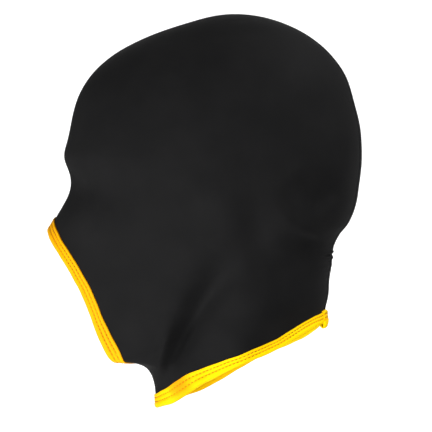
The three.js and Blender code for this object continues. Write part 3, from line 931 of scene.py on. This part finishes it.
def tape_material(name, yellow, orange, patch=None):
    """Yellow ribbed tape with painted orange shade along its edge on the cloth and beside its rows of
    stitches, random orange mottling, and on the neck tape more orange towards the front and round a darker
    orange patch.
    """
    shader = Shader(name)
    u, v = shader.run()
    place = shader.place()
    cloud = shader.noise(place, scale=46.0, detail=4.0, roughness=0.6)
    drawn_out = shader.node("CombineXYZ", {0: shader.times(u, 60.0), 1: shader.times(v, 14.0)})
    streak = shader.noise(drawn_out.outputs[0], scale=1.0)
    rib = shader.wave(v, TAPE_RIBS)
    weft = shader.wave(u, 1 / TAPE_WEFT)
    # painted shade: orange along the tape's edge on the cloth and beside its rows of stitches, where the
    # grooves would be shaded
    painted_shade_and_tint = shader.between(v, 0.0, 0.24, to_low=0.55, to_high=0.0)
    for share in STITCH_ROWS:
        gap = shader.math("ABSOLUTE", shader.math("SUBTRACT", v, share + 0.06))
        painted_shade_and_tint = shader.math("MAXIMUM", painted_shade_and_tint, shader.between(gap, 0.015, 0.1, to_low=1.0, to_high=0.0))
    # random mottling: the cloud varies the painted shade, and streaks add orange of their own
    painted_shade_and_tint = shader.times(painted_shade_and_tint, shader.between(cloud, 0.3, 0.62, to_low=0.25, to_high=1.0))
    painted_shade_and_tint = shader.math("MAXIMUM", painted_shade_and_tint, shader.between(streak, 0.52, 0.8, to_low=0.0, to_high=0.6))
    if patch is not None:
        # on the neck tape, more orange towards the front
        y = shader.node("SeparateXYZ", {0: place}).outputs[1]
        painted_shade_and_tint = shader.math("MAXIMUM", painted_shade_and_tint, shader.between(y, -0.03, 0.04, to_low=0.55, to_high=0.0))
    colour = shader.mix(painted_shade_and_tint, yellow, orange)
    if patch is not None:
        # a darker orange patch on the neck tape near the throat
        away = shader.node("VectorMath", {0: place, 1: patch}, operation="DISTANCE").outputs["Value"]
        ragged = shader.math("MULTIPLY_ADD", cloud, 0.012, away)
        patched = shader.between(ragged, 0.007, 0.018, to_low=0.75, to_high=0.0)
        colour = shader.mix(patched, colour, PATCH_ORANGE)
    shader.set(Base_Color=shader.mix(shader.math("MULTIPLY_ADD", rib, 0.06, 0.06), colour, PALE_YELLOW))
    shader.set(Roughness=shader.math("MULTIPLY_ADD", cloud, 0.15, 0.5))
    weave = shader.math("MULTIPLY_ADD", weft, 0.5, rib)
    soft = shader.bump(streak, distance=0.0005, strength=0.35)
    shader.set(Normal=shader.bump(weave, distance=0.00008, strength=0.5, under=soft))
    shader.surface.inputs["Specular IOR Level"].default_value = 0.03
    return shader.material


def thread_material():
    """Amber thread with a twist, faded in places."""
    shader = Shader("amber_thread")
    u, v = shader.run()
    ply = shader.wave(shader.math("ADD", shader.times(u, 6.0), v), 2)
    plain = shader.mix(shader.math("MULTIPLY_ADD", ply, 0.3, 0.5), THREAD_DARK, THREAD_LIGHT)
    cloud = shader.noise(shader.place(), scale=38.0, detail=2.0)
    faded = shader.between(cloud, 0.42, 0.62, to_low=0.0, to_high=0.8)
    shader.set(Base_Color=shader.mix(faded, plain, THREAD_FADED))
    shader.set(Roughness=shader.math("MULTIPLY_ADD", ply, 0.06, 0.5))
    shader.set(Normal=shader.bump(ply, distance=0.00008, strength=0.5))
    shader.surface.inputs["Specular IOR Level"].default_value = 0.1
    return shader.material


def stage_material():
    """Pale floor with a faint grain and a glow of its own."""
    shader = Shader("pale_floor")
    grain = shader.noise(shader.place(), scale=30.0, detail=2.0)
    shader.set(Base_Color=shader.mix(grain, FLOOR_DARK, FLOOR_LIGHT))
    shader.set(Roughness=shader.math("MULTIPLY_ADD", grain, 0.05, 0.8))
    shader.surface.inputs["Emission Color"].default_value = WHITE
    shader.surface.inputs["Emission Strength"].default_value = 0.5
    return shader.material


def backdrop(material):
    """A floor that bends up into a wall behind the hood, square to the camera."""
    profile = [(SWEEP_NEAR, FLOOR)]
    for turn in np.linspace(0, math.pi / 2, SWEEP_BEND_POINTS):
        ahead = SWEEP_BEND_FROM + SWEEP_RADIUS * math.sin(turn)
        profile.append((ahead, FLOOR + SWEEP_RADIUS * (1 - math.cos(turn))))
    profile.append((SWEEP_BEND_FROM + SWEEP_RADIUS, SWEEP_TOP))
    points = []
    for ahead, height in profile:
        for width in (-SWEEP_HALF_WIDTH, SWEEP_HALF_WIDTH):
            points.append(AWAY * ahead + ASIDE * width + UP * height)
    faces = [(2 * k, 2 * k + 1, 2 * k + 3, 2 * k + 2) for k in range(len(profile) - 1)]
    return mesh_piece("backdrop", np.array(points) / MM, faces, np.zeros((4 * len(faces), 2)), material)


def look_at(thing, spot):
    thing.rotation_euler = (Vector(spot) - thing.location).to_track_quat("-Z", "Y").to_euler()


def lamp(name, spot, size, power):
    """A round lamp that shines at the middle of the picture."""
    data = bpy.data.lights.new(name, "AREA")
    data.shape = "DISK"
    data.size = size
    data.energy = power
    made = bpy.data.objects.new(name, data)
    bpy.context.collection.objects.link(made)
    made.location = spot
    look_at(made, AIM)


# Pieces
knit = knit_material()
face_yellow = tape_material("face_tape_yellow", FACE_YELLOW, FACE_SHADE_AND_TINT_ORANGE)
neck_yellow = tape_material("neck_tape_yellow", NECK_YELLOW, NECK_SHADE_AND_TINT_ORANGE, patch=NECK_PATCH)
amber = thread_material()
rows, on_centre = panel_rows()
left = cloth_panel("knit_left", rows, on_centre, 1, knit)
right = cloth_panel("knit_right", rows, on_centre, -1, knit)
face = Edge(face_edge, inward=(0, 1, 0.35), reach=face_reach)
neck = Edge(neck_edge, inward=(0, -0.2, 1), reach=neck_reach)
face_strip = Tape(face, face.length, lambda t: face.length / 2 + t, phase=0.4)
neck_length = neck.length + LAP_LEFT + LAP_RIGHT
neck_strip = Tape(neck, neck_length, lambda t: neck.length / 2 + LAP_RIGHT - t, phase=1.3, lap=neck.length)
face_tape = face_strip.build("face_tape", face_yellow)
neck_tape = neck_strip.build("neck_tape", neck_yellow)
face_stitches = face_strip.stitches("face_stitches", amber)
neck_stitches = neck_strip.stitches("neck_stitches", amber)

for piece, node, slot in (
    (left, "left_panel", "knit"),
    (right, "right_panel", "knit"),
    (face_tape, "face_binding", "binding"),
    (neck_tape, "neck_binding", "binding"),
    (face_stitches, None, "binding"),
    (neck_stitches, None, "binding"),
):
    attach(piece, "root")
    if node:
        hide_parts(node)

# Stage and light
sweep = backdrop(stage_material())

world = bpy.data.worlds.new("studio")
bpy.context.scene.world = world
world.use_nodes = True
background = world.node_tree.nodes["Background"]
background.inputs["Color"].default_value = WHITE
background.inputs["Strength"].default_value = WORLD_STRENGTH

lamp("top_back", spot=(-0.2, 1.0, 1.3), size=0.9, power=38)
lamp("front_fill", spot=(0.8, -1.2, -0.65), size=0.7, power=35)
lamp("camera_side", spot=(1.8, 0.6, -0.25), size=1.0, power=42)

# Camera
camera_data = bpy.data.cameras.new("camera")
camera_data.sensor_fit = "HORIZONTAL"
camera_data.angle = 2 * math.atan(HALF_PICTURE / DISTANCE)
camera_data.clip_end = CAMERA_FAR
camera = bpy.data.objects.new("camera", camera_data)
bpy.context.collection.objects.link(camera)
camera.location = AIM + DISTANCE * (UP * math.sin(ELEVATION) - AWAY * math.cos(ELEVATION))
look_at(camera, AIM)
bpy.context.scene.camera = camera
bpy.context.scene.view_settings.view_transform = "Standard"
